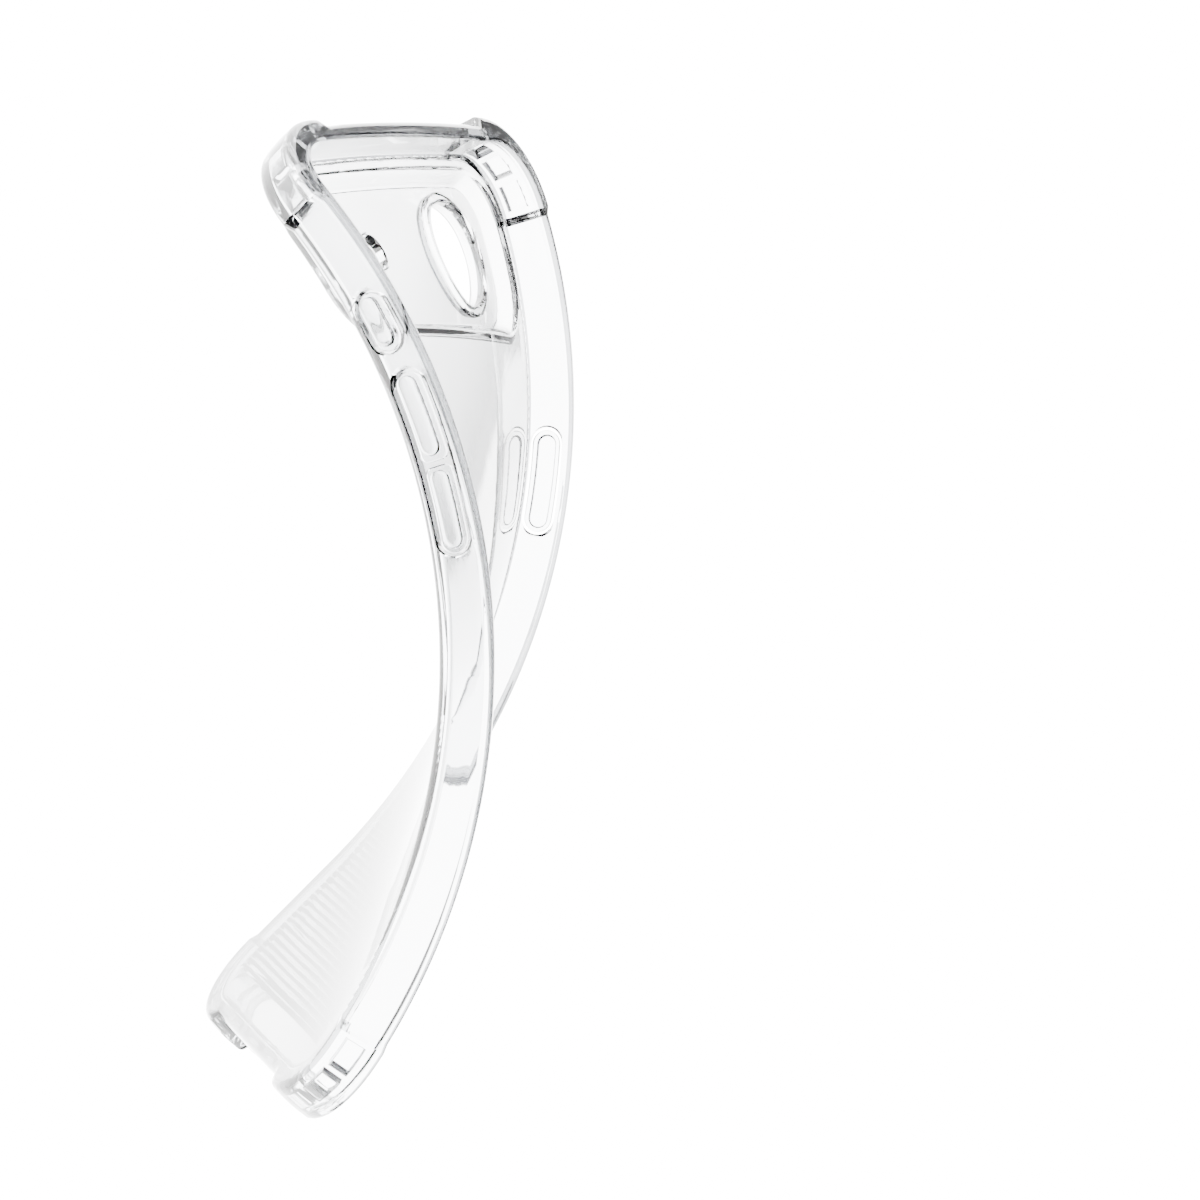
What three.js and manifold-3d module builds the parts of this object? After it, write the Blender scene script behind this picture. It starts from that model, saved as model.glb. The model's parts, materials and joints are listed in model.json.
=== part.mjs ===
// Clear shock-corner phone case, peeled open and curled towards its own back.
// The moulding is drawn flat, divided into flex zones across the curl, and each
// zone is then folded about its hinge line to give the curled resting shape.
// Flat frame: X across, Y from the port end to the camera end, Z out of the back.
import * as THREE from 'three';
import { mergeVertices } from 'three/addons/utils/BufferGeometryUtils.js';
import Module from 'manifold-3d';

const wasm = await Module();
wasm.setup();

// ---- Driving dimensions, mm and degrees --------------------------------

// The slim phone that the case is moulded to hold.
const PHONE_LENGTH = 156.2;
const PHONE_WIDTH = 74.7;
const PHONE_THICKNESS = 5.6;
const PHONE_CORNER = 10.3;

// Shell.
const WALL = 2.2;
const BACK = 1.3;
const LIP_RISE = 1.9;
const LIP_INWARD = 0.7;
const DEPTH = BACK + PHONE_THICKNESS + LIP_RISE;
const JOIN = 0.3;
const EDGE_INWARD = 0.4;

// Corner bumpers, with three air pockets in each.
const BUMPER_PROUD = 1.6;
const BUMPER_ALONG_SIDE = 13.8;
const BUMPER_ALONG_END = 15.5;
const BUMPER_END_SLOPE = 1.5;
const POCKETS = 3;
const POCKET_DEPTH = 2.2;
const POCKET_HEIGHT = 3.4;
const POCKET_ARC = 24;
const POCKET_PITCH = 31;

// Raised tray over the phone's camera bar.
const TRAY = { x0: -36.6, x1: 36.6, y0: 126.5, y1: 156.8, corner: 9.8, rise: 3.0, slope: 1.8 };

// Round guards over the lens and the flash.
const LENS = { x: -19, y: 142, bore: 9.4, wall: 1.8, top: 4.2, clear: 0.85 };
const FLASH = { x: 14.5, y: 142.5, bore: 2.6, wall: 1.0, top: 3.5, clear: 0.45 };

// Button windows in the side walls: y is the centre, along the wall.
const BUTTON_MID_Z = -4.3;
const WINDOW_HEIGHT = 5.4;
const WINDOW_CLEAR = 0.4;
const BUTTON_PROUD = 0.6;
const BUTTON_ROOT = 0.5;
const NEAR = 1;
const FAR = -1;
const WINDOWS = [
  { name: 'action', side: NEAR, y0: 121.5, y1: 132.0, split: [] },
  { name: 'volume', side: NEAR, y0: 89.0, y1: 118.6, split: [103.4] },
  { name: 'power', side: FAR, y0: 95.5, y1: 112.9, split: [] },
];
const SPLIT_GAP = 1.4;

// Openings in the port end.
const PORT = { x: 0, width: 13, height: 4.6, z: -4.4 };
const SOUND_SLOT = { x: 13.5, width: 6.5, height: 2.2 };

// Curl: hinge lines run along A, and the curl advances along B.
const HINGE_SLANT = 30;
const HINGE_COUNT = 9;
const FIRST_HINGE = 16.3;
const HINGE_PITCH = 15.5;
const HINGE_ANGLE = 11;
const OVER_CURL = 0.12;

// How the curled case rests on a table: on three of its corners.
const REST_ROLL = 47.7;
const REST_LEAN = 22.6;

// ---- Derived -----------------------------------------------------------

const LENGTH = PHONE_LENGTH + 2 * WALL;
const HALF_WIDTH = PHONE_WIDTH / 2 + WALL;
const rad = THREE.MathUtils.degToRad;
const A = new THREE.Vector3(Math.cos(rad(HINGE_SLANT)), -Math.sin(rad(HINGE_SLANT)), 0);
const B = new THREE.Vector3(Math.sin(rad(HINGE_SLANT)), Math.cos(rad(HINGE_SLANT)), 0);
const HINGES = Array.from({ length: HINGE_COUNT }, (_, i) => FIRST_HINGE + i * HINGE_PITCH);
const BIG = 300;

// ---- Solids ------------------------------------------------------------

// A three.js geometry as a closed solid that can be cut and joined.
function solid(geometry) {
  const bare = geometry.index ? geometry.toNonIndexed() : geometry.clone();
  for (const name of Object.keys(bare.attributes)) {
    if (name !== 'position') bare.deleteAttribute(name);
  }
  const merged = mergeVertices(bare, 1e-4);
  return new wasm.Manifold(new wasm.Mesh({
    numProp: 3,
    vertProperties: new Float32Array(merged.attributes.position.array),
    triVerts: new Uint32Array(merged.index.array),
  }));
}

// The solid's surface as a three.js geometry.
function surface(body) {
  const mesh = body.getMesh();
  const geometry = new THREE.BufferGeometry();
  geometry.setAttribute('position', new THREE.BufferAttribute(mesh.vertProperties, 3));
  geometry.setIndex(new THREE.BufferAttribute(mesh.triVerts, 1));
  geometry.computeVertexNormals();
  return geometry;
}

// A flat outline raised from z0 to z1.
function prism(shape, z0, z1, curveSegments = 8) {
  const geometry = new THREE.ExtrudeGeometry(shape, {
    depth: z1 - z0,
    bevelEnabled: false,
    curveSegments,
  });
  geometry.translate(0, 0, z0);
  return solid(geometry);
}

function polygon(points) {
  return new THREE.Shape(points.map(([x, y]) => new THREE.Vector2(x, y)));
}

function roundedRect(x0, y0, x1, y1, r) {
  const shape = new THREE.Shape();
  shape.moveTo(x0 + r, y0);
  shape.absarc(x1 - r, y0 + r, r, -Math.PI / 2, 0, false);
  shape.absarc(x1 - r, y1 - r, r, 0, Math.PI / 2, false);
  shape.absarc(x0 + r, y1 - r, r, Math.PI / 2, Math.PI, false);
  shape.absarc(x0 + r, y0 + r, r, Math.PI, 1.5 * Math.PI, false);
  return shape;
}

function cylinder(x, y, r, z0, z1, segments = 40) {
  const geometry = new THREE.CylinderGeometry(r, r, z1 - z0, segments);
  geometry.rotateX(Math.PI / 2);
  geometry.translate(x, y, (z0 + z1) / 2);
  return solid(geometry);
}

// A rounded bar that crosses a side wall, for a button or its window.
function wallBar(side, y0, y1, height, u0, u1) {
  const r = height / 2 - 0.01;
  const shape = roundedRect(y0, -height / 2, y1, height / 2, Math.min(r, (y1 - y0) / 2 - 0.01));
  const geometry = new THREE.ExtrudeGeometry(shape, {
    depth: u1 - u0,
    bevelEnabled: false,
    curveSegments: 6,
  });
  const across = new THREE.Matrix4().makeBasis(
    new THREE.Vector3(0, 1, 0),
    new THREE.Vector3(0, 0, 1),
    new THREE.Vector3(1, 0, 0),
  );
  geometry.applyMatrix4(across);
  const start = side > 0 ? PHONE_WIDTH / 2 + u0 : -PHONE_WIDTH / 2 - u1;
  geometry.translate(start, 0, BUTTON_MID_Z);
  return solid(geometry);
}

// The phone's outline as points with outward normals, for sweeping a wall round it.
function phoneOutline() {
  const arcSteps = 8;
  const inset = PHONE_CORNER;
  const x = PHONE_WIDTH / 2 - inset;
  const corners = [
    [x, WALL + inset, -90],
    [x, WALL + PHONE_LENGTH - inset, 0],
    [-x, WALL + PHONE_LENGTH - inset, 90],
    [-x, WALL + inset, 180],
  ];
  const points = [];
  for (const [cx, cy, start] of corners) {
    for (let i = 0; i <= arcSteps; i += 1) {
      const angle = rad(start + (90 * i) / arcSteps);
      const nx = Math.cos(angle);
      const ny = Math.sin(angle);
      points.push({ x: cx + inset * nx, y: cy + inset * ny, nx, ny });
    }
  }
  return points;
}

// A closed wall: the profile [outward, z] carried round the phone's outline.
function wallRing(profile) {
  const path = phoneOutline();
  const positions = [];
  const index = [];
  const n = profile.length;
  for (const p of path) {
    for (const [u, z] of profile) {
      positions.push(p.x + u * p.nx, p.y + u * p.ny, z);
    }
  }
  for (let i = 0; i < path.length; i += 1) {
    const here = i * n;
    const next = ((i + 1) % path.length) * n;
    for (let j = 0; j < n; j += 1) {
      const k = (j + 1) % n;
      index.push(here + j, here + k, next + j);
      index.push(here + k, next + k, next + j);
    }
  }
  const geometry = new THREE.BufferGeometry();
  geometry.setAttribute('position', new THREE.Float32BufferAttribute(positions, 3));
  geometry.setIndex(index);
  return solid(geometry);
}

// ---- The moulding, flat ------------------------------------------------

// Side wall section: rounded back edge, slightly bowed side, inward lip.
function wallProfile(proud) {
  const out = WALL + proud;
  return [
    [-EDGE_INWARD, 0],
    [0.6, 0],
    [out - 0.6, -0.45],
    [out, -1.6],
    [out + 0.15, -4.4],
    [out, -7.6],
    [out - 0.7, -DEPTH],
    [-0.3, -DEPTH],
    [-LIP_INWARD, -DEPTH + 0.5],
    [-LIP_INWARD, -DEPTH + 0.9],
    [0, -DEPTH + 1.6],
    [0, -BACK - 0.4],
    [-EDGE_INWARD, -BACK],
  ];
}

// Plan outline of the ground that one bumper takes, with sloped ends.
function cornerGround(sx, top, grow) {
  const side = BUMPER_ALONG_SIDE + grow;
  const end = BUMPER_ALONG_END + grow;
  const reach = 8;
  const s = BUMPER_END_SLOPE;
  const edgeX = HALF_WIDTH;
  const points = [
    [edgeX + reach, -reach],
    [edgeX + reach, side - reach * (s / WALL)],
    [edgeX - WALL, side + s],
    [edgeX - 2 * WALL - PHONE_CORNER / 2, side + s],
    [edgeX - end - s, PHONE_CORNER / 2 + 2 * WALL],
    [edgeX - end - s, WALL],
    [edgeX - end + reach * (s / WALL), -reach],
  ];
  return polygon(points.map(([x, y]) => [sx * x, top ? LENGTH - y : y]));
}

const CORNERS = [
  { name: 'near_bottom', sx: 1, top: false, zone: 1 },
  { name: 'near_top', sx: 1, top: true, zone: 9 },
  { name: 'far_top', sx: -1, top: true, zone: 7 },
  { name: 'far_bottom', sx: -1, top: false, zone: 0 },
];

// The air pockets open towards the phone, so that none is sealed.
function airPockets(sx, top) {
  const cx = sx * (PHONE_WIDTH / 2 - PHONE_CORNER);
  const inset = WALL + PHONE_CORNER;
  const cy = top ? LENGTH - inset : inset;
  const middle = Math.atan2(top ? 1 : -1, sx);
  const r0 = PHONE_CORNER - 1;
  const r1 = PHONE_CORNER + POCKET_DEPTH;
  const cuts = [];
  for (let i = 0; i < POCKETS; i += 1) {
    const centre = middle + rad((i - (POCKETS - 1) / 2) * POCKET_PITCH);
    const a0 = centre - rad(POCKET_ARC / 2);
    const a1 = centre + rad(POCKET_ARC / 2);
    const shape = new THREE.Shape();
    shape.moveTo(cx + r0 * Math.cos(a0), cy + r0 * Math.sin(a0));
    shape.absarc(cx, cy, r1, a0, a1, false);
    shape.absarc(cx, cy, r0, a1, a0, true);
    const z = BUTTON_MID_Z;
    cuts.push(prism(shape, z - POCKET_HEIGHT / 2, z + POCKET_HEIGHT / 2, 4));
  }
  return cuts;
}

function cutAll(body, cutters) {
  let left = body;
  for (const cutter of cutters) left = left.subtract(cutter);
  return left;
}

function bumper(corner) {
  const ring = wallRing(wallProfile(BUMPER_PROUD));
  const ground = prism(cornerGround(corner.sx, corner.top, 0), -BIG, BIG);
  return cutAll(ring.intersect(ground), airPockets(corner.sx, corner.top));
}

// Everything of the thin wall that the bumpers leave free, with its windows.
function thinWall() {
  const grounds = CORNERS.map((c) => prism(cornerGround(c.sx, c.top, JOIN), -BIG, BIG));
  const windows = WINDOWS.map((w) => wallBar(w.side, w.y0, w.y1, WINDOW_HEIGHT, -3, 6));
  return cutAll(wallRing(wallProfile(0)), [...grounds, ...windows, ...portCuts()]);
}

function endBar(x, width, height) {
  const shape = roundedRect(x - width / 2, PORT.z - height / 2, x + width / 2, PORT.z + height / 2, height / 2 - 0.01);
  const geometry = new THREE.ExtrudeGeometry(shape, { depth: 12, bevelEnabled: false, curveSegments: 6 });
  geometry.rotateX(Math.PI / 2);
  geometry.translate(0, 6, 0);
  return solid(geometry);
}

function portCuts() {
  return [
    endBar(PORT.x, PORT.width, PORT.height),
    endBar(PORT.x - SOUND_SLOT.x, SOUND_SLOT.width, SOUND_SLOT.height),
    endBar(PORT.x + SOUND_SLOT.x, SOUND_SLOT.width, SOUND_SLOT.height),
  ];
}

// The raised tray: rounded outline whose sides slope in towards the top.
function trayBlock(inset, z0, z1) {
  const { x0, x1, y0, y1, corner, slope } = TRAY;
  const layer = (extra, low, high) => prism(
    roundedRect(x0 + extra, y0 + extra, x1 - extra, y1 - extra, corner - extra),
    low,
    high,
    5,
  );
  const middle = (z0 + z1) / 2;
  return layer(inset, z0, middle).add(layer(inset + slope / 2, middle - 0.01, z1));
}

function backSheet() {
  const inset = EDGE_INWARD + JOIN;
  const x = PHONE_WIDTH / 2 - inset;
  const plate = prism(
    roundedRect(-x, WALL + inset, x, LENGTH - WALL - inset, PHONE_CORNER - inset),
    -BACK,
    0,
  );
  const raised = plate.add(trayBlock(0, -BACK, TRAY.rise));
  const hollow = trayBlock(BACK, -BACK - 1, TRAY.rise - BACK);
  const grip = (g) => cylinder(g.x, g.y, g.bore + g.wall + g.clear, -BIG, BIG);
  return cutAll(raised, [hollow, grip(LENS), grip(FLASH)]);
}

function guardRing(g) {
  const foot = TRAY.rise - BACK - 0.6;
  const r = g.bore + g.wall;
  const profile = [
    [g.bore, foot],
    [r, foot],
    [r, g.top - 0.5],
    [r - 0.5, g.top],
    [g.bore + 0.4, g.top],
    [g.bore, g.top - 0.4],
    [g.bore, foot],
  ].map(([x, y]) => new THREE.Vector2(x, y));
  const geometry = new THREE.LatheGeometry(profile, 48);
  geometry.rotateX(Math.PI / 2);
  geometry.translate(g.x, g.y, 0);
  return solid(geometry);
}

// ---- Flex zones --------------------------------------------------------

// The zones part along each hinge line, and open upwards where the curl closes on itself.
function hingeCut(i) {
  const half = JOIN / 2;
  const closing = rad((HINGE_ANGLE * (1 + OVER_CURL)) / 2 + 1);
  const up = 6;
  const shape = polygon([
    [-half, -20],
    [half, -20],
    [half, 0],
    [half + up * Math.tan(closing), up],
    [-half - up * Math.tan(closing), up],
    [-half, 0],
  ]);
  const geometry = new THREE.ExtrudeGeometry(shape, { depth: 2 * BIG, bevelEnabled: false });
  const axes = new THREE.Matrix4().makeBasis(B, new THREE.Vector3(0, 0, 1), A);
  geometry.translate(0, 0, -BIG);
  geometry.applyMatrix4(axes);
  geometry.translate(...B.clone().multiplyScalar(HINGES[i]).toArray());
  return solid(geometry);
}

function zoneGround(i) {
  const low = i === 0 ? -BIG : HINGES[i - 1];
  const high = i === HINGES.length ? BIG : HINGES[i];
  const at = (v, a) => {
    const p = B.clone().multiplyScalar(v).addScaledVector(A, a);
    return [p.x, p.y];
  };
  return prism(polygon([at(low, -BIG), at(low, BIG), at(high, BIG), at(high, -BIG)]), -BIG, BIG);
}

// Where zone i goes when the hinges before it are folded.
function foldOf(i) {
  const fold = new THREE.Matrix4();
  for (let j = 0; j < i; j += 1) {
    const line = B.clone().multiplyScalar(HINGES[j]);
    fold.multiply(new THREE.Matrix4().makeTranslation(line.x, line.y, line.z));
    fold.multiply(new THREE.Matrix4().makeRotationAxis(A, rad(HINGE_ANGLE)));
    fold.multiply(new THREE.Matrix4().makeTranslation(-line.x, -line.y, -line.z));
  }
  return fold;
}

// Turns the flat frame into the table's: back down, hinge lines leaning up from it.
function tableTurn() {
  const roll = new THREE.Matrix4().makeRotationAxis(A, rad(-REST_ROLL));
  const down = new THREE.Matrix4().makeBasis(
    A.clone(),
    B.clone(),
    new THREE.Vector3(0, 0, 1),
  ).invert();
  const table = new THREE.Matrix4().makeBasis(
    new THREE.Vector3(0, -1, 0),
    new THREE.Vector3(-1, 0, 0),
    new THREE.Vector3(0, 0, -1),
  );
  const lean = new THREE.Matrix4().makeRotationX(rad(-REST_LEAN));
  return lean.multiply(table).multiply(down).multiply(roll);
}

// ---- Materials ---------------------------------------------------------

const LOOKS = {
  back: { color: 0xdfe6ea, roughness: 0.18 },
  wall: { color: 0xd2dbe0, roughness: 0.15 },
  bumper: { color: 0xc6d1d8, roughness: 0.15 },
  guard: { color: 0xb9c4cc, roughness: 0.12 },
  button: { color: 0xe9eff2, roughness: 0.25 },
};

function mesh(name, body, look, fold) {
  const material = new THREE.MeshStandardMaterial({ ...LOOKS[look], metalness: 0 });
  const made = new THREE.Mesh(surface(body), material);
  made.name = name;
  made.geometry.applyMatrix4(fold);
  return made;
}

// ---- Assembly ----------------------------------------------------------

const SMALLEST_BODY = 4;

// The bodies that a sheet leaves in one zone, far side first.
function piecesIn(sheet, zone) {
  const parts = sheet.intersect(zoneGround(zone)).decompose();
  const kept = parts.filter((p) => p.volume() > SMALLEST_BODY);
  const middleX = (p) => (p.boundingBox().min[0] + p.boundingBox().max[0]) / 2;
  return kept.sort((p, q) => middleX(p) - middleX(q));
}

function wallName(body) {
  const { min, max } = body.boundingBox();
  const reach = PHONE_WIDTH / 2 - 4;
  if (min[0] > reach) return 'near_rail';
  if (max[0] < -reach) return 'far_rail';
  return min[1] > LENGTH / 2 ? 'top_wall' : 'bottom_wall';
}

function named(stem, count, order) {
  return count > 1 ? `${stem}_${'abcd'[order]}` : stem;
}

function buildCase() {
  const group = new THREE.Group();
  const cuts = HINGES.map((_, i) => hingeCut(i));
  const back = cutAll(backSheet(), cuts);
  const wall = cutAll(thinWall(), cuts);

  for (let zone = 0; zone <= HINGES.length; zone += 1) {
    const fold = foldOf(zone);
    const panels = piecesIn(back, zone);
    panels.forEach((body, i) => {
      const name = named(`back_panel_${zone + 1}`, panels.length, i);
      group.add(mesh(name, body, 'back', fold));
    });
    for (const body of piecesIn(wall, zone)) {
      group.add(mesh(`${wallName(body)}_${zone + 1}`, body, 'wall', fold));
    }
  }

  for (const corner of CORNERS) {
    group.add(mesh(`bumper_${corner.name}`, bumper(corner), 'bumper', foldOf(corner.zone)));
  }

  const guardZone = 7;
  group.add(mesh('lens_guard', guardRing(LENS), 'guard', foldOf(guardZone)));
  group.add(mesh('flash_guard', guardRing(FLASH), 'guard', foldOf(zoneAt(FLASH.x, FLASH.y))));

  for (const window of WINDOWS) {
    const ends = [window.y0, ...window.split, window.y1];
    for (let i = 0; i + 1 < ends.length; i += 1) {
      const inner = i > 0 ? SPLIT_GAP / 2 : WINDOW_CLEAR;
      const outer = i + 2 < ends.length ? SPLIT_GAP / 2 : WINDOW_CLEAR;
      const y0 = ends[i] + inner;
      const y1 = ends[i + 1] - outer;
      const height = WINDOW_HEIGHT - 2 * WINDOW_CLEAR;
      const body = wallBar(window.side, y0, y1, height, BUTTON_ROOT, WALL + 0.15 + BUTTON_PROUD);
      const which = window.split.length ? `_${['down', 'up'][i]}` : '';
      const zone = zoneAt((window.side * PHONE_WIDTH) / 2, (y0 + y1) / 2);
      group.add(mesh(`${window.name}${which}_cover`, body, 'button', foldOf(zone)));
    }
  }

  const turn = tableTurn();
  for (const child of group.children) child.geometry.applyMatrix4(turn);
  standOnTable(group);
  return group;
}

// The zone that holds a point of the flat plan.
function zoneAt(x, y) {
  const v = B.dot(new THREE.Vector3(x, y, 0));
  return HINGES.filter((h) => h < v).length;
}

// Centres the case over the origin and puts its lowest corner on the table.
function standOnTable(group) {
  const box = new THREE.Box3();
  for (const child of group.children) {
    child.geometry.computeBoundingBox();
    box.union(child.geometry.boundingBox);
  }
  const middle = box.getCenter(new THREE.Vector3());
  for (const child of group.children) {
    child.geometry.translate(-middle.x, -middle.y, -box.min.z);
  }
}

export default buildCase();
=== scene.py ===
"""Clear shock-corner phone case, peeled open and curled towards its own back.

The moulding is built flat, in millimetres, with X across the case, Y from the port
end to the camera end and Z out of the back. It is then sliced across the curl, bent
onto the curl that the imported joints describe, and shared out over the flex zones.
"""

import json
import math

import bmesh
import bpy
import numpy as np
from mathutils import Matrix, Vector

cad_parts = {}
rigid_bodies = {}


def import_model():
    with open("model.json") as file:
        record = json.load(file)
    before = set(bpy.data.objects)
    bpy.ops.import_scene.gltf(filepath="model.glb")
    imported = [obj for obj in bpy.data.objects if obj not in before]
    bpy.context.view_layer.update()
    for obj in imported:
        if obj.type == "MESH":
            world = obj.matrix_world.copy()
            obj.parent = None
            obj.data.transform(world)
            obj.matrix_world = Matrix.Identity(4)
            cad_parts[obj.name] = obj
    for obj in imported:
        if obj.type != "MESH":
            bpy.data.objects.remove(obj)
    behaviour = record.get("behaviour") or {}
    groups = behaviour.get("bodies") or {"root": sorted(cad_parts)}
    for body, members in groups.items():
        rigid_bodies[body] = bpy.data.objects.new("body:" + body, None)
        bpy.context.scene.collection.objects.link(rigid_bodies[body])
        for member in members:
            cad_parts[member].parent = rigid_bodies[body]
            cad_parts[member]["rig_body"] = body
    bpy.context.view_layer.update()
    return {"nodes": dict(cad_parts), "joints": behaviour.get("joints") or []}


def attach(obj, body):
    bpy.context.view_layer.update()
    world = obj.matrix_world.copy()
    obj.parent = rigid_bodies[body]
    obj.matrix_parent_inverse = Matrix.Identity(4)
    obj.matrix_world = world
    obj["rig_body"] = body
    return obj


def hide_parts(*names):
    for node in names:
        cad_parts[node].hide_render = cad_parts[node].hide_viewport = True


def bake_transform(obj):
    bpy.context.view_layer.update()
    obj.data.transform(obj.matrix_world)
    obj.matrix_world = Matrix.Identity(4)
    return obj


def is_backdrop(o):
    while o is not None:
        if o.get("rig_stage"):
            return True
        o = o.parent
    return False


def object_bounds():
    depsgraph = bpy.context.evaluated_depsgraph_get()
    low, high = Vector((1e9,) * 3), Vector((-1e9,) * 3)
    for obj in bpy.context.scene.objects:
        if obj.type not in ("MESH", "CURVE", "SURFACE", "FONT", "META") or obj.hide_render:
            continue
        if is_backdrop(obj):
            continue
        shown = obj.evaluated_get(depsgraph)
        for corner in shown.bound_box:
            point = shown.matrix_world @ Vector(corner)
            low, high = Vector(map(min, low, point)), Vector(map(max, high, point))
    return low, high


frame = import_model()

# ---- Driving dimensions, mm and degrees ----------------------------------

PHONE_LENGTH = 156.2
PHONE_WIDTH = 74.7
PHONE_CORNER = 10.3

WALL = 2.2
BACK = 1.3
DEPTH = 8.8
LENGTH = PHONE_LENGTH + 2 * WALL
SIDE = PHONE_WIDTH / 2
BACK_EDGE_R = 1.7
LIP_OUTER_R = 1.3
LIP_INNER_R = 0.7
FLOOR_R = 1.1
FLOOR_REACH = 3.0
CROWN = 0.15
CROWN_HALF = 2.8

BUMPER_PROUD = 1.6
BUMPER_ALONG_SIDE = 13.8
BUMPER_ALONG_END = 15.5
BUMPER_RAMP = 1.5
RAMP_FOOT = 0.4  # how far past the bumper its ramp ends

POCKET_Z = (-6.0, -2.6)
POCKET_ARC = 24.0
POCKET_PITCH = 31.0
POCKET_DEPTH = 2.2
POCKET_OVERCUT = 1.4
POCKET_STEPS = 7

TRAY = {"x0": -36.6, "x1": 36.6, "y0": 126.5, "y1": 156.8, "corner": 9.8, "rise": 3.0}
LENS = {"x": -19.0, "y": 142.0, "bore": 9.4, "wall": 1.8, "top": 4.2}
FLASH = {"x": 14.5, "y": 142.5, "bore": 2.6, "wall": 1.0, "top": 3.5}
GUARD_FOOT = TRAY["rise"] - BACK - 0.6

# The tray's outer and inner skins, as (inset, height) up the slope.
TRAY_OUTSIDE = [
    (-0.6, -0.5),
    (-0.6, 0.01),
    (-0.25, 0.06),
    (0.05, 0.28),
    (0.4, 0.95),
    (0.8, 1.8),
    (1.05, 2.4),
    (1.4, 2.8),
    (1.8, TRAY["rise"]),
]
TRAY_INSIDE = [
    (-0.7, -3.0),
    (-0.7, -1.32),
    (-0.35, -1.2),
    (-0.05, -0.9),
    (0.3, -0.2),
    (0.7, 0.6),
    (1.0, 1.15),
    (1.3, 1.5),
    (1.7, TRAY["rise"] - BACK),
]
TRAY_CORNER_STEPS = 10

KEY_Z = -4.3
WINDOW_HEIGHT = 5.4
FLANGE_CLEAR = 0.4
FLANGE_CORNER = 1.2
PAD_INSET = 0.7
SPLIT_GAP = 0.8
KEYS = [
    {"name": "action", "side": 1, "window": (121.5, 132.0), "splits": []},
    {"name": "volume", "side": 1, "window": (89.0, 118.6), "splits": [103.4]},
    {"name": "power", "side": -1, "window": (95.5, 112.9), "splits": []},
]

# A key's window, flange and pad, as (height past the phone's side, inset).
WINDOW_LEVELS = [(-2, 0.0), (1.75, 0.0), (2.1, -0.12), (2.35, -0.4), (6, -0.4)]
FLANGE_LEVELS = [(0.5, 0.12), (0.62, 0.0), (1.38, 0.0), (1.5, 0.12)]
PAD_LEVELS = [
    (1.5, 0.0),
    (1.62, 0.1),
    (2.5, 0.14),
    (2.72, 0.24),
    (2.86, 0.46),
    (2.93, 0.8),
    (2.95, 1.15),
]
# how far past the phone's side the pads' sides get the painted dark edge shade
PAD_SIDE = (1.55, 2.55)

PORT = {"width": 13.0, "height": 4.6, "z": -4.4}
SOUND = {"x": 13.5, "width": 6.5, "height": 2.2}
SLOT_LEVELS = [(-4, -0.35), (-0.15, -0.35), (0.15, -0.12), (0.5, 0.0), (6, 0.0)]

RIB_PITCH = 1.35
RIB_DEPTH = 0.22
RIBS_Y = (8.0, 66.0)
RIBS_X = 33.0
RIB_FLAT = 0.12

HAIR = 0.02  # keeps points and faces that would touch a hair apart

SLANT = math.radians(30)
FIRST_HINGE = 16.3
PITCH = 15.5
HINGES = 9
FOLD = math.radians(11)
SLICES_PER_ZONE = 10
CORNER_STEPS = 12
SIDE_STEPS = 15
END_STEPS = 7
SHARP_ANGLE = math.radians(32)

# Where the painted dark rim shade lies, in flat millimetres: near-black colour on the lip top,
# the back's rounded edge and the cut edges, standing in for dark edge lines.
LIP_BAND = 0.7
BACK_EDGE_PAST = 1.1
BACK_EDGE_Z = (-0.9, -0.15)
CUT_PAST = (0.15, 1.75)
CUT_Z = (-7.6, -1.4)

# ---- Studio numbers, in metres from the frame's origin ---------------------

GLOW_CENTRE = (0.08, 0.13)
GLOW_RADII = (0.28, 0.7)
GLOW_STRENGTHS = (16.0, 0.9)
FLOOR_RADIUS = 4
FLOOR_STEPS = 96

CAMERA_TURN, CAMERA_RISE, CAMERA_ROLL = -3.46, 16.79, -44.14
CAMERA_CENTRE = (0.0, 80.0, 0.0)  # flat millimetres, as is the distance
CAMERA_DISTANCE = 1219.0
CAMERA_SHIFT = (0.0077, 0.0774)
SENSOR = 36
FOCAL_PIXELS = 7493.0
FRAME_PIXELS = 1200

# ---- The curl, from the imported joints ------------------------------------

ARC_START = FIRST_HINGE - PITCH / 2
ARC_END = ARC_START + HINGES * PITCH
RADIUS = PITCH / 2 / math.tan(FOLD / 2)
joint_at = {j["name"]: np.array(j["pos_m"]) * 1000 for j in frame["joints"] if "pos_m" in j}
first_joint = next(j for j in frame["joints"] if j["name"] == "flex_1")
along = -np.array(first_joint["axis"])
along /= np.linalg.norm(along)
step = joint_at["flex_2"] - joint_at["flex_1"]
forward_2 = step - (step @ along) * along
forward_2 /= np.linalg.norm(forward_2)
out_2 = np.cross(along, forward_2)
forward = math.cos(FOLD) * forward_2 - math.sin(FOLD) * out_2
outward = math.sin(FOLD) * forward_2 + math.cos(FOLD) * out_2


def across_curl(points):
    """How far each flat point is along the curl, and along its hinge lines."""
    v = points[:, 0] * math.sin(SLANT) + points[:, 1] * math.cos(SLANT)
    a = points[:, 0] * math.cos(SLANT) - points[:, 1] * math.sin(SLANT)
    return v, a


def place(a, b, n):
    """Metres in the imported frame, from millimetres along the hinges, forward and outward."""
    a0 = -FIRST_HINGE * math.tan(SLANT)
    offset = np.outer(a - a0, along) + np.outer(b - FIRST_HINGE, forward) + np.outer(n, outward)
    return (joint_at["flex_1"] + offset) / 1000


def curled(points):
    """Flat points, bent onto the curl."""
    v, a = across_curl(points)
    on_arc = np.clip(v, ARC_START, ARC_END)
    rest = v - on_arc
    turn = (on_arc - ARC_START) / PITCH * FOLD
    z = points[:, 2]
    b = ARC_START + RADIUS * np.sin(turn) + rest * np.cos(turn) - z * np.sin(turn)
    n = RADIUS * (1 - np.cos(turn)) + rest * np.sin(turn) + z * np.cos(turn)
    return place(a, b, n)


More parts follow.
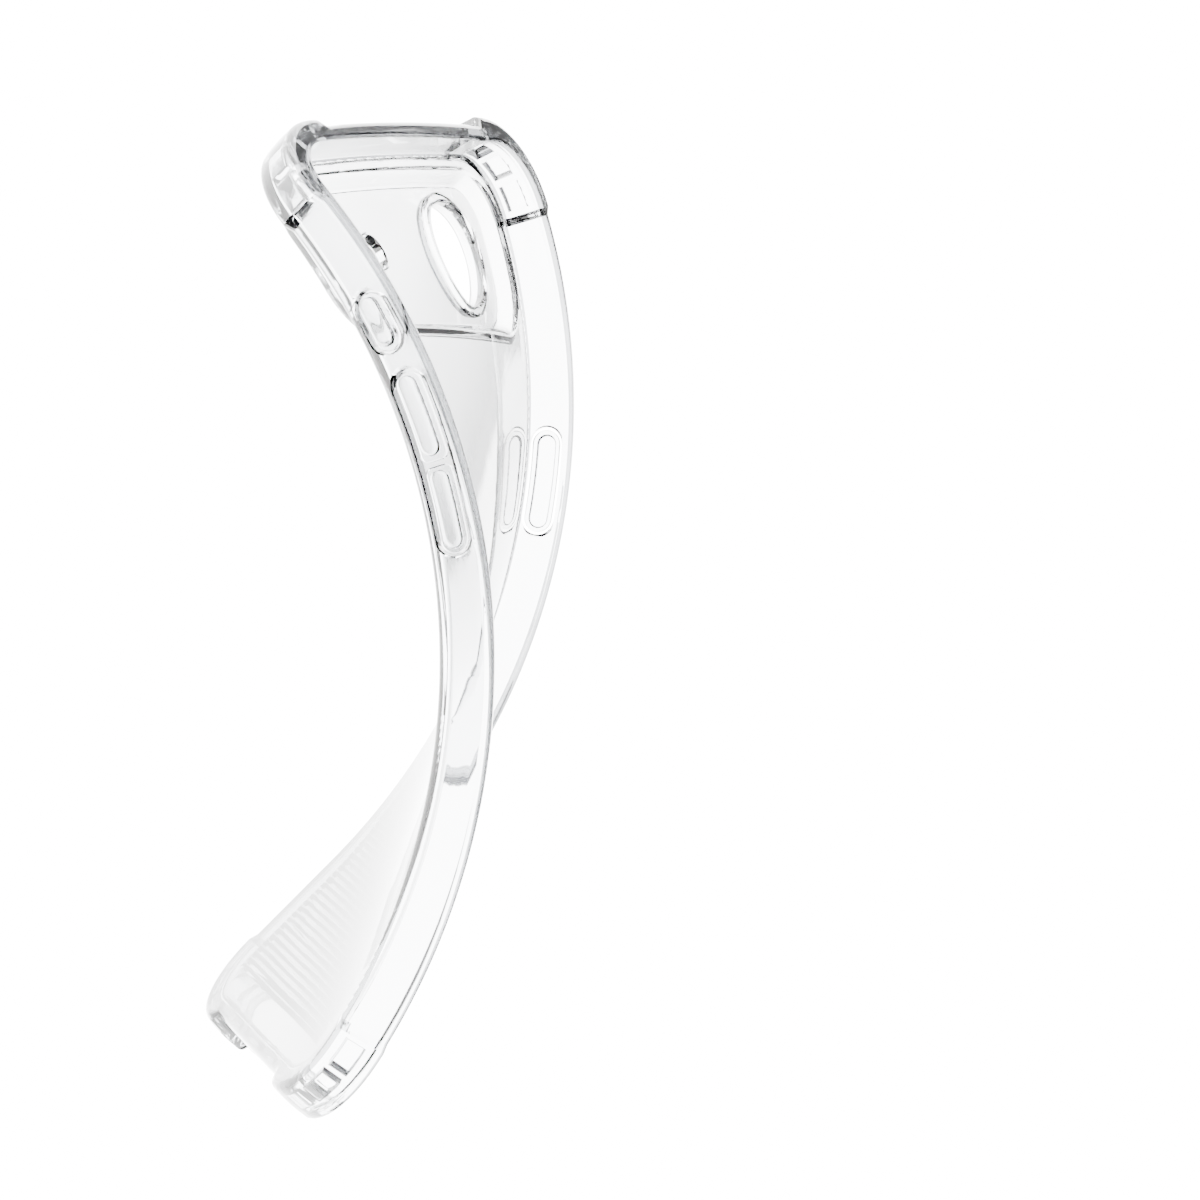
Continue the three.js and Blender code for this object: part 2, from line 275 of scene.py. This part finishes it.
def unbent(point):
    """A point fixed to the port end, where the flat frame stays flat."""
    p = np.array([point], float)
    v, a = across_curl(p)
    return Vector(place(a, v, p[:, 2])[0])


# ---- Solids ---------------------------------------------------------------


def solid(name, loops, wrap=False):
    """A closed skin through loops of equal length, capped at both ends or wrapped round."""
    count = len(loops[0])
    verts = [tuple(p) for loop in loops for p in loop]
    faces = []
    last = len(loops) if wrap else len(loops) - 1
    for i in range(last):
        here, there = i * count, (i + 1) % len(loops) * count
        for j in range(count):
            k = (j + 1) % count
            faces.append((here + j, here + k, there + k, there + j))
    if not wrap:
        faces.append(tuple(range(count))[::-1])
        faces.append(tuple(range(len(verts) - count, len(verts))))
    mesh = bpy.data.meshes.new(name)
    mesh.from_pydata(verts, [], faces)
    bm = bmesh.new()
    bm.from_mesh(mesh)
    bmesh.ops.recalc_face_normals(bm, faces=bm.faces[:])
    bm.to_mesh(mesh)
    bm.free()
    made = bpy.data.objects.new(name, mesh)
    bpy.context.scene.collection.objects.link(made)
    return made


def combine(base, tools, operation):
    """Joins the tools to the base, or cuts them from it."""
    for tool in tools:
        mod = base.modifiers.new("combine", "BOOLEAN")
        mod.operation = operation
        mod.solver = "MANIFOLD"
        mod.object = tool
        graph = bpy.context.evaluated_depsgraph_get()
        made = bpy.data.meshes.new_from_object(base.evaluated_get(graph))
        base.modifiers.clear()
        base.data = made
        bpy.data.objects.remove(tool)


def corner_arc(cx, cy, r, start, steps):
    """Points of a quarter circle that starts at an angle in degrees."""
    for i in range(steps + 1):
        t = math.radians(start + 90 * i / steps)
        yield cx + r * math.cos(t), cy + r * math.sin(t)


def rounded(x0, y0, x1, y1, r_low, r_high, steps=6):
    """A rectangle whose corners at its low and high x ends have their own radii."""
    points = []
    points += corner_arc(x1 - r_high, y0 + r_high, r_high, -90, steps)
    points += corner_arc(x1 - r_high, y1 - r_high, r_high, 0, steps)
    points += corner_arc(x0 + r_low, y1 - r_low, r_low, 90, steps)
    points += corner_arc(x0 + r_low, y0 + r_low, r_low, 180, steps)
    return points


def stations():
    """Points round the phone's outline: x, y, outward normal, how proud the wall is."""
    x = SIDE - PHONE_CORNER
    low, high = WALL + PHONE_CORNER, LENGTH - WALL - PHONE_CORNER
    side_end = BUMPER_ALONG_SIDE + RAMP_FOOT
    side_ramp = side_end - BUMPER_RAMP
    end_end = SIDE + WALL - BUMPER_ALONG_END - RAMP_FOOT
    end_ramp = end_end + BUMPER_RAMP
    up = [(side_ramp, BUMPER_PROUD)]
    up += [(y, 0.0) for y in np.linspace(side_end, LENGTH - side_end, SIDE_STEPS)]
    up += [(LENGTH - side_ramp, BUMPER_PROUD)]
    over = [(end_ramp, BUMPER_PROUD)]
    over += [(p, 0.0) for p in np.linspace(end_end, -end_end, END_STEPS)]
    over += [(-end_ramp, BUMPER_PROUD)]
    found = []

    def corner(cx, cy, start):
        for px, py in corner_arc(cx, cy, PHONE_CORNER, start, CORNER_STEPS):
            nx, ny = (px - cx) / PHONE_CORNER, (py - cy) / PHONE_CORNER
            found.append((px, py, nx, ny, BUMPER_PROUD))

    corner(x, low, -90)
    found.extend((SIDE, y, 1, 0, proud) for y, proud in up)
    corner(x, high, 0)
    found.extend((px, LENGTH - WALL, 0, 1, proud) for px, proud in over)
    corner(-x, high, 90)
    found.extend((-SIDE, y, -1, 0, proud) for y, proud in reversed(up))
    corner(-x, low, 180)
    found.extend((px, WALL, 0, -1, proud) for px, proud in reversed(over))
    return found


def arc(cu, cz, r, start, end, steps):
    """Points (u, z) of an arc in the wall's section, from start to end degrees."""
    angles = [math.radians(start + (end - start) * i / steps) for i in range(steps + 1)]
    return [(cu + r * math.cos(t), cz + r * math.sin(t)) for t in angles]


def wall_section(proud):
    """The wall's section from the middle of the back, round the lip, to the inside floor."""
    out = WALL + proud
    points = [(-FLOOR_REACH, 0.0)]
    points += arc(out - BACK_EDGE_R, -BACK_EDGE_R, BACK_EDGE_R, 90, 0, 6)
    for z in (-2.6, -3.5, -4.4, -5.3, -6.2, -7.1):
        points.append((out + CROWN * (1 - ((z + DEPTH / 2) / CROWN_HALF) ** 2), z))
    points += arc(out - LIP_OUTER_R, -DEPTH + LIP_OUTER_R, LIP_OUTER_R, 0, -90, 6)
    points += arc(0.0, -DEPTH + LIP_INNER_R, LIP_INNER_R, -90, -180, 4)
    for u, above_lip in ((-0.7, 0.8), (-0.55, 1.1), (-0.2, 1.45), (0.0, 1.8)):
        points.append((u, -DEPTH + above_lip))
    points += arc(-FLOOR_R, -BACK - FLOOR_R, FLOOR_R, 0, 90, 5)
    points.append((-FLOOR_REACH, -BACK))
    return points


def shell():
    """The back, the walls and the lip, with the corners proud."""
    ring = stations()
    sections = {proud: wall_section(proud) for proud in (0.0, BUMPER_PROUD)}
    loops = []
    for k in range(len(sections[0.0])):
        loop = []
        for x, y, nx, ny, proud in ring:
            u, z = sections[proud][k]
            loop.append((x + u * nx, y + u * ny, z))
        loops.append(loop)
    return solid("shell", loops)


def tray(grow, levels):
    """The camera tray's rounded block, through (inset, z) levels."""
    loops = []
    for inset, z in levels:
        i = inset + grow
        r = TRAY["corner"] - i
        low = TRAY["x0"] + i, TRAY["y0"] + i
        high = TRAY["x1"] - i, TRAY["y1"] - i
        outline = rounded(*low, *high, r, r, TRAY_CORNER_STEPS)
        loops.append([(x, y, z) for x, y in outline])
    return solid("tray", loops)


def turned(g, section, steps=64):
    """Loops turned about a guard's axis from its (radius, z) section."""
    loops = []
    for r, z in section:
        turns = [2 * math.pi * i / steps for i in range(steps)]
        loops.append([(g["x"] + r * math.cos(t), g["y"] + r * math.sin(t), z) for t in turns])
    return loops


def guard(g):
    """The raised ring round a hole in the tray, before its bore."""
    foot, top = GUARD_FOOT, g["top"]
    r = g["bore"] + g["wall"]
    section = [(g["bore"] - 0.5, foot), (r - 0.3, foot), (r, foot + 0.3), (r, top - 0.6)]
    section += [(r - 0.18, top - 0.2), (r - 0.6, top), (g["bore"] - 0.5, top)]
    return solid("guard", turned(g, section), wrap=True)


def bore(g):
    """The hole through a guard, with eased edges."""
    foot, top, r = GUARD_FOOT, g["top"], g["bore"]
    section = [(r + 2, top + 1.6), (r + 0.4, top), (r + 0.1, top - 0.35), (r, top - 0.8)]
    section += [(r, foot + 0.4), (r + 0.35, foot), (r + 0.35, -4)]
    return solid("bore", turned(g, section))


def pockets():
    """Three air pockets in each corner, open towards the phone."""
    made = []
    for sx in (1, -1):
        for top in (False, True):
            cx = sx * (SIDE - PHONE_CORNER)
            inset = WALL + PHONE_CORNER
            cy = LENGTH - inset if top else inset
            middle = math.degrees(math.atan2(1 if top else -1, sx))
            for i in (-1, 0, 1):
                made.append(pocket(cx, cy, middle + i * POCKET_PITCH))
    return made


def pocket(cx, cy, centre):
    """One pocket's block, pinched towards its outer face so that its edges are eased."""
    r0, r1 = PHONE_CORNER - POCKET_OVERCUT, PHONE_CORNER + POCKET_DEPTH
    ends = centre - POCKET_ARC / 2, centre + POCKET_ARC / 2
    angles = np.radians(np.linspace(*ends, POCKET_STEPS))
    half_width = 2.4
    mid = math.radians(centre)
    z0, z1 = POCKET_Z
    loops = []
    for r, pinch in ((r0, 0.0), (r1 - 0.35, 0.0), (r1 - 0.08, 0.12), (r1, 0.4)):
        squeeze = 1 - pinch / half_width
        loop = []
        for z, ordered in ((z0 + pinch, angles), (z1 - pinch, angles[::-1])):
            for t in ordered:
                turn = mid + (t - mid) * squeeze
                loop.append((cx + r * math.cos(turn), cy + r * math.sin(turn), z))
        loops.append(loop)
    return solid("pocket", loops)


def side_loop(side, u, y0, y1, inset, r_low, r_high, height=WINDOW_HEIGHT):
    """A rounded outline in a side wall, u past the phone's side."""
    half = height / 2 - inset
    radii = max(r_low - inset, 0.05), max(r_high - inset, 0.05)
    outline = rounded(y0 + inset, -half, y1 - inset, half, *radii)
    return [(side * (SIDE + u), y, KEY_Z + z) for y, z in outline]


def window(key):
    """The capsule hole for a key, with eased outer and inner edges."""
    y0, y1 = key["window"]
    r = WINDOW_HEIGHT / 2 - HAIR
    loops = [side_loop(key["side"], u, y0, y1, inset, r, r) for u, inset in WINDOW_LEVELS]
    return solid("window", loops)


def key_cover(name, side, y0, y1, round_low, round_high):
    """A key pad on the thin flange that fills its part of the window."""
    y0 += FLANGE_CLEAR if round_low else SPLIT_GAP / 2
    y1 -= FLANGE_CLEAR if round_high else SPLIT_GAP / 2
    flange = WINDOW_HEIGHT - 2 * FLANGE_CLEAR
    full = flange / 2 - HAIR
    r_low = full if round_low else FLANGE_CORNER
    r_high = full if round_high else FLANGE_CORNER
    loops = [side_loop(side, u, y0, y1, i, r_low, r_high, flange) for u, i in FLANGE_LEVELS]
    y0 += PAD_INSET
    y1 -= PAD_INSET
    pad = flange - 2 * PAD_INSET
    r = pad / 2 - HAIR
    loops += [side_loop(side, u, y0, y1, i, r, r, pad) for u, i in PAD_LEVELS]
    return solid(name, loops)


def end_slot(x, width, height):
    """A slot through the port end's wall, eased on the outside."""
    loops = []
    for y, inset in SLOT_LEVELS:
        low = x - width / 2 + inset, PORT["z"] - height / 2 + inset
        high = x + width / 2 - inset, PORT["z"] + height / 2 - inset
        r = height / 2 - inset - HAIR
        loops.append([(px, y, pz) for px, pz in rounded(*low, *high, r, r)])
    return solid("slot", loops)


def ribs():
    """The grooves between the fine ribs on the inside of the lower back."""
    start, stop = RIBS_Y
    rows = int((stop - start) / RIB_PITCH)
    end = start + rows * RIB_PITCH
    inside = -BACK
    clear = inside - 0.6
    edge = [(start, clear)]
    for i in range(rows):
        y = start + i * RIB_PITCH
        edge += [(y + RIB_FLAT, inside - HAIR), (y + RIB_PITCH / 2, inside + RIB_DEPTH)]
    edge += [(end, inside - HAIR), (end, clear)]
    return solid("ribs", [[(x, y, z) for y, z in edge] for x in (-RIBS_X, RIBS_X)])


def moulding():
    """The whole flat case in one closed skin."""
    case = shell()
    combine(case, [tray(0.0, TRAY_OUTSIDE)], "UNION")
    combine(case, [tray(BACK, TRAY_INSIDE)], "DIFFERENCE")
    combine(case, [guard(LENS), guard(FLASH)], "UNION")
    cuts = [bore(LENS), bore(FLASH), ribs()]
    cuts += pockets()
    cuts += [window(key) for key in KEYS]
    cuts.append(end_slot(0, PORT["width"], PORT["height"]))
    cuts += [end_slot(sx * SOUND["x"], SOUND["width"], SOUND["height"]) for sx in (-1, 1)]
    combine(case, cuts, "DIFFERENCE")
    return case


# ---- Bending and sharing out ----------------------------------------------


def slice_across(bm):
    """Cuts a flat piece along the lines that it will bend on, then into triangles."""
    normal = Vector((math.sin(SLANT), math.cos(SLANT), 0))
    reached = [v.co @ normal for v in bm.verts]
    low, high = min(reached), max(reached)
    for i in range(HINGES * SLICES_PER_ZONE + 1):
        at = ARC_START + i * PITCH / SLICES_PER_ZONE
        if low < at < high:
            everything = bm.verts[:] + bm.edges[:] + bm.faces[:]
            plane = {"plane_co": normal * at, "plane_no": normal}
            bmesh.ops.bisect_plane(bm, geom=everything, dist=1e-4, **plane)
    bmesh.ops.triangulate(bm, faces=bm.faces[:])


def bend(piece):
    """Bends a flat piece, sets its shading, and returns its flat points."""
    bm = bmesh.new()
    bm.from_mesh(piece.data)
    bmesh.ops.remove_doubles(bm, verts=bm.verts[:], dist=0.002)
    slice_across(bm)
    flat = np.array([v.co for v in bm.verts])
    bent = curled(flat)
    for vert, co in zip(bm.verts, bent):
        vert.co = co
    for face in bm.faces:
        face.smooth = True
    for edge in bm.edges:
        edge.smooth = len(edge.link_faces) == 2 and edge.calc_face_angle(0) < SHARP_ANGLE
    bm.to_mesh(piece.data)
    bm.free()
    mod = piece.modifiers.new("shading", "WEIGHTED_NORMAL")
    mod.mode = "FACE_AREA_WITH_ANGLE"
    mod.keep_sharp = True
    graph = bpy.context.evaluated_depsgraph_get()
    made = bpy.data.meshes.new_from_object(piece.evaluated_get(graph))
    piece.modifiers.clear()
    piece.data = made
    return flat


def past_phone(points):
    """How far flat points lie outside the phone's rounded outline."""
    dx = np.maximum(np.abs(points[:, 0]) - (SIDE - PHONE_CORNER), 0)
    dy = np.maximum(np.abs(points[:, 1] - LENGTH / 2) - (LENGTH / 2 - WALL - PHONE_CORNER), 0)
    return np.hypot(dx, dy) - PHONE_CORNER


def on_painted_shade_rim(points):
    """Which flat points lie on the top of the lip, the rounded edge of the back, or a cut:
    where the near-black painted edge shade goes.
    """
    beyond = past_phone(points)
    z = points[:, 2]
    lip = z < -DEPTH + LIP_BAND
    edge = (beyond > BACK_EDGE_PAST) & between(z, BACK_EDGE_Z)
    cut = between(beyond, CUT_PAST) & between(z, CUT_Z)
    return lip | edge | cut


def between(values, limits):
    return (values > limits[0]) & (values < limits[1])


def share_out(case, flat, materials):
    """Splits the bent case at the middle of each flex zone but the end ones."""
    mesh = case.data
    v, _ = across_curl(flat)
    count = len(mesh.polygons)
    corners = np.empty(len(mesh.loops), np.int32)
    mesh.loops.foreach_get("vertex_index", corners)
    normals = np.empty(len(mesh.loops) * 3)
    mesh.corner_normals.foreach_get("vector", normals)
    normals = normals.reshape(-1, 3)
    corners = corners.reshape(count, 3)
    normals = normals.reshape(count, 3, 3)
    middle = v[corners].mean(1)
    owner = np.clip(np.floor((middle - ARC_START) / PITCH), 0, HINGES - 1).astype(int)
    # faces that get the near-black painted edge shade
    rim = on_painted_shade_rim(flat[corners].mean(1))
    points = np.empty(len(mesh.vertices) * 3)
    mesh.vertices.foreach_get("co", points)
    points = points.reshape(-1, 3)
    sections = []
    for k in range(HINGES):
        mine = owner == k
        used, index = np.unique(corners[mine], return_inverse=True)
        part = bpy.data.meshes.new(f"shell_section_{k + 1}")
        part.from_pydata(points[used].tolist(), [], index.reshape(-1, 3).tolist())
        part.polygons.foreach_set("use_smooth", np.ones(len(part.polygons), bool))
        part.polygons.foreach_set("material_index", rim[mine].astype(np.int32))
        part.normals_split_custom_set(normals[mine].reshape(-1, 3).tolist())
        for material in materials:
            part.materials.append(material)
        section = bpy.data.objects.new(part.name, part)
        bpy.context.scene.collection.objects.link(section)
        sections.append(section)
    bpy.data.objects.remove(case)
    return sections


# ---- Materials --------------------------------------------------------------

# Painted shade: how far the plastic's colour is darkened at each slant, from square on (0) to
# edge on (1), to draw dark edge lines; far darker than the longer way through it would make it.
SLANT_PAINTED_SHADE = [
    (0.2, 1.0),
    (0.45, 0.6),
    (0.62, 0.32),
    (0.72, 0.12),
    (0.8, 0.012),
    (0.88, 0.004),
    (1.0, 0.002),
]
SLANT_GLOSS = (0.4, 0.68, 0.5, 0.0)
SHELL_LOOK = {
    "tint": (0.84, 0.85, 0.86),
    "haze": (0.78, 0.79, 0.8),
    "roughness": (0.01, 0.045),
    "grain": 0.05,
}
# painted shade: near-black tint and haze for the rim, standing in for the dark edge lines of
# clear plastic
RIM_PAINTED_SHADE_LOOK = {
    "tint": (0.07, 0.072, 0.075),
    "haze": (0.025, 0.026, 0.028),
    "roughness": (0.01, 0.05),
    "grain": 0.05,
}
KEY_LOOK = {
    "tint": (0.82, 0.83, 0.84),
    "haze": (0.76, 0.77, 0.78),
    "roughness": (0.03, 0.08),
    "grain": 0.08,
}


def ramp(nodes, stops):
    """A colour ramp through (position, colour) stops."""
    made = nodes.new("ShaderNodeValToRGB")
    elements = made.color_ramp.elements
    for element, (at, colour) in zip(elements, (stops[0], stops[-1])):
        element.position = at
        element.color = (*colour, 1)
    for at, colour in stops[1:-1]:
        elements.new(at).color = (*colour, 1)
    return made


def map_range(nodes, start, end, low, high):
    made = nodes.new("ShaderNodeMapRange")
    made.inputs["From Min"].default_value = start
    made.inputs["From Max"].default_value = end
    made.inputs["To Min"].default_value = low
    made.inputs["To Max"].default_value = high
    return made


def noise(tree, where, scale, detail):
    """A noise over the object's own coordinates; returns its value."""
    made = tree.nodes.new("ShaderNodeTexNoise")
    made.inputs["Scale"].default_value = scale
    made.inputs["Detail"].default_value = detail
    tree.links.new(where.outputs["Object"], made.inputs["Vector"])
    return made.outputs["Fac"]


def multiplied(tree, first, second):
    made = tree.nodes.new("ShaderNodeMix")
    made.data_type = "RGBA"
    made.blend_type = "MULTIPLY"
    made.inputs["Factor"].default_value = 1.0
    tree.links.new(first, made.inputs[6])
    tree.links.new(second, made.inputs[7])
    return made.outputs[2]


def clear_plastic(name, tint, haze, roughness, grain):
    """Clear moulded elastomer: faint tint clouds, uneven polish and a soft moulded skin.

    Where it is seen at a slant its colour is darkened, to near black edge on: painted shade
    that draws dark edge lines, far darker than the longer way through the plastic would make
    it."""
    material = bpy.data.materials.new(name)
    material.use_nodes = True
    tree = material.node_tree
    nodes, links = tree.nodes, tree.links
    shader = nodes["Principled BSDF"]
    shader.inputs["Transmission Weight"].default_value = 1.0
    shader.inputs["IOR"].default_value = 1.46
    where = nodes.new("ShaderNodeTexCoord")

    clouds = ramp(nodes, [(0.35, haze), (0.65, tint)])
    links.new(noise(tree, where, 45, 3), clouds.inputs["Fac"])
    slant = nodes.new("ShaderNodeLayerWeight")
    slant.inputs["Blend"].default_value = 0.5
    # painted shade: the colour darkens towards edge on, for the dark edge lines
    slant_shade = ramp(nodes, [(at, (grey, grey, grey)) for at, grey in SLANT_PAINTED_SHADE])
    links.new(slant.outputs["Facing"], slant_shade.inputs["Fac"])
    colour = multiplied(tree, clouds.outputs["Color"], slant_shade.outputs["Color"])
    links.new(colour, shader.inputs["Base Color"])

    sheen = map_range(nodes, *SLANT_GLOSS)
    links.new(slant.outputs["Facing"], sheen.inputs["Value"])
    links.new(sheen.outputs["Result"], shader.inputs["Specular IOR Level"])

    polish = map_range(nodes, 0.0, 1.0, *roughness)
    links.new(noise(tree, where, 160, 4), polish.inputs["Value"])
    links.new(polish.outputs["Result"], shader.inputs["Roughness"])

    skin = nodes.new("ShaderNodeBump")
    skin.inputs["Strength"].default_value = grain
    skin.inputs["Distance"].default_value = 0.0002
    links.new(noise(tree, where, 240, 2), skin.inputs["Height"])
    links.new(skin.outputs["Normal"], shader.inputs["Normal"])
    return material


# ---- Building ---------------------------------------------------------------

clear_shell = clear_plastic("clear_shell", **SHELL_LOOK)
# the rim material is painted shade, near black, for the dark edge lines
rim_painted_shade = clear_plastic("rim_painted_shade", **RIM_PAINTED_SHADE_LOOK)
clear_key = clear_plastic("clear_key", **KEY_LOOK)

case = moulding()
flat_points = bend(case)
sections = share_out(case, flat_points, (clear_shell, rim_painted_shade))

zone_nodes = {}
for node, obj in frame["nodes"].items():
    zone_nodes.setdefault(obj["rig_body"], []).append(node)

for k, section in enumerate(sections):
    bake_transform(section)
    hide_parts(*zone_nodes[f"flex_zone_{k + 1}"])
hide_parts(*zone_nodes[f"flex_zone_{HINGES + 1}"])

for key in KEYS:
    ends = [key["window"][0], *key["splits"], key["window"][1]]
    last = len(ends) - 2
    for i in range(last + 1):
        half = ["_down", "_up"][i] if key["splits"] else ""
        stem = f"{key['name']}{half}"
        cover = key_cover(f"{stem}_key", key["side"], *ends[i : i + 2], i == 0, i == last)
        flat_cover = bend(cover)
        cover.data.materials.append(clear_key)
        cover.data.materials.append(rim_painted_shade)
        # the pads' sides get the near-black painted edge shade
        for face in cover.data.polygons:
            past = past_phone(flat_cover[list(face.vertices)]).mean()
            face.material_index = int(between(past, PAD_SIDE))
        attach(cover, f"{stem}_button")
        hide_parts(f"{stem}_cover")

# ---- Studio -----------------------------------------------------------------


def area_light(name, at, aim, size, watts):
    data = bpy.data.lights.new(name, "AREA")
    data.shape = "RECTANGLE"
    data.size, data.size_y = size
    data.energy = watts
    light = bpy.data.objects.new(name, data)
    light.location = at
    light.rotation_euler = (Vector(aim) - Vector(at)).to_track_quat("-Z", "Y").to_euler()
    bpy.context.scene.collection.objects.link(light)


def floor(level):
    """A pale floor that glows round the case, as a light table does."""
    mesh = bpy.data.meshes.new("floor")
    turns = [2 * math.pi * i / FLOOR_STEPS for i in range(FLOOR_STEPS)]
    ring = [(FLOOR_RADIUS * math.cos(t), FLOOR_RADIUS * math.sin(t), level) for t in turns]
    mesh.from_pydata(ring, [], [tuple(range(FLOOR_STEPS))])
    made = bpy.data.objects.new("floor", mesh)
    bpy.context.scene.collection.objects.link(made)
    material = bpy.data.materials.new("pale_floor")
    material.use_nodes = True
    nodes = material.node_tree.nodes
    links = material.node_tree.links
    shader = nodes["Principled BSDF"]
    shader.inputs["Base Color"].default_value = (0.95, 0.95, 0.95, 1)
    shader.inputs["Roughness"].default_value = 0.9
    shader.inputs["Emission Color"].default_value = (1, 1, 1, 1)
    where = nodes.new("ShaderNodeTexCoord")
    spot = nodes.new("ShaderNodeMapping")
    spot.vector_type = "TEXTURE"
    spot.inputs["Location"].default_value = (*GLOW_CENTRE, level)
    length = nodes.new("ShaderNodeVectorMath")
    length.operation = "LENGTH"
    glow = map_range(nodes, *GLOW_RADII, *GLOW_STRENGTHS)
    glow.interpolation_type = "SMOOTHERSTEP"
    links.new(where.outputs["Object"], spot.inputs["Vector"])
    links.new(spot.outputs["Vector"], length.inputs[0])
    links.new(length.outputs["Value"], glow.inputs["Value"])
    links.new(glow.outputs["Result"], shader.inputs["Emission Strength"])
    mesh.materials.append(material)
    made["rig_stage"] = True


def world():
    """Light near the horizon, dim overhead."""
    made = bpy.data.worlds.new("studio")
    made.use_nodes = True
    nodes = made.node_tree.nodes
    links = made.node_tree.links
    where = nodes.new("ShaderNodeTexCoord")
    split = nodes.new("ShaderNodeSeparateXYZ")
    sky = ramp(nodes, [(0.0, (1, 1, 1)), (0.3, (0.2, 0.2, 0.21))])
    links.new(where.outputs["Generated"], split.inputs["Vector"])
    links.new(split.outputs["Z"], sky.inputs["Fac"])
    links.new(sky.outputs["Color"], nodes["Background"].inputs["Color"])
    bpy.context.scene.world = made


def camera():
    """Looks at the case as the photograph does, from low beside the port end."""
    turn, rise, roll = (math.radians(d) for d in (CAMERA_TURN, CAMERA_RISE, CAMERA_ROLL))
    heading = np.array([math.cos(turn), math.sin(turn), 0])
    back = math.cos(rise) * heading + np.array([0, 0, math.sin(rise)])
    level = np.array([-math.sin(turn), math.cos(turn), 0])
    plumb = np.cross(back, level)
    right = math.cos(roll) * level + math.sin(roll) * plumb
    up = math.cos(roll) * plumb - math.sin(roll) * level
    origin = unbent((0, 0, 0))
    axes = [(unbent(d) - origin).normalized() for d in (right, up, back)]
    at = unbent(np.array(CAMERA_CENTRE) + CAMERA_DISTANCE * back)
    data = bpy.data.cameras.new("camera")
    data.sensor_width = SENSOR
    data.lens = SENSOR * FOCAL_PIXELS / FRAME_PIXELS
    data.shift_x, data.shift_y = CAMERA_SHIFT
    data.clip_start, data.clip_end = 0.05, 20
    made = bpy.data.objects.new("camera", data)
    made.matrix_world = Matrix.Translation(at) @ Matrix(axes).transposed().to_4x4()
    bpy.context.scene.collection.objects.link(made)
    bpy.context.scene.camera = made


floor(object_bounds()[0][2])
world()
area_light("overhead", at=(-0.3, -0.2, 1.6), aim=(0, 0, 0), size=(1.2, 1.2), watts=60)
area_light("window", at=(-1.3, 0.6, 0.9), aim=(0, 0, 0.03), size=(0.5, 1.4), watts=40)
area_light("strip", at=(0.9, -1.1, 0.7), aim=(0, 0, 0.03), size=(0.15, 1.2), watts=20)
camera()
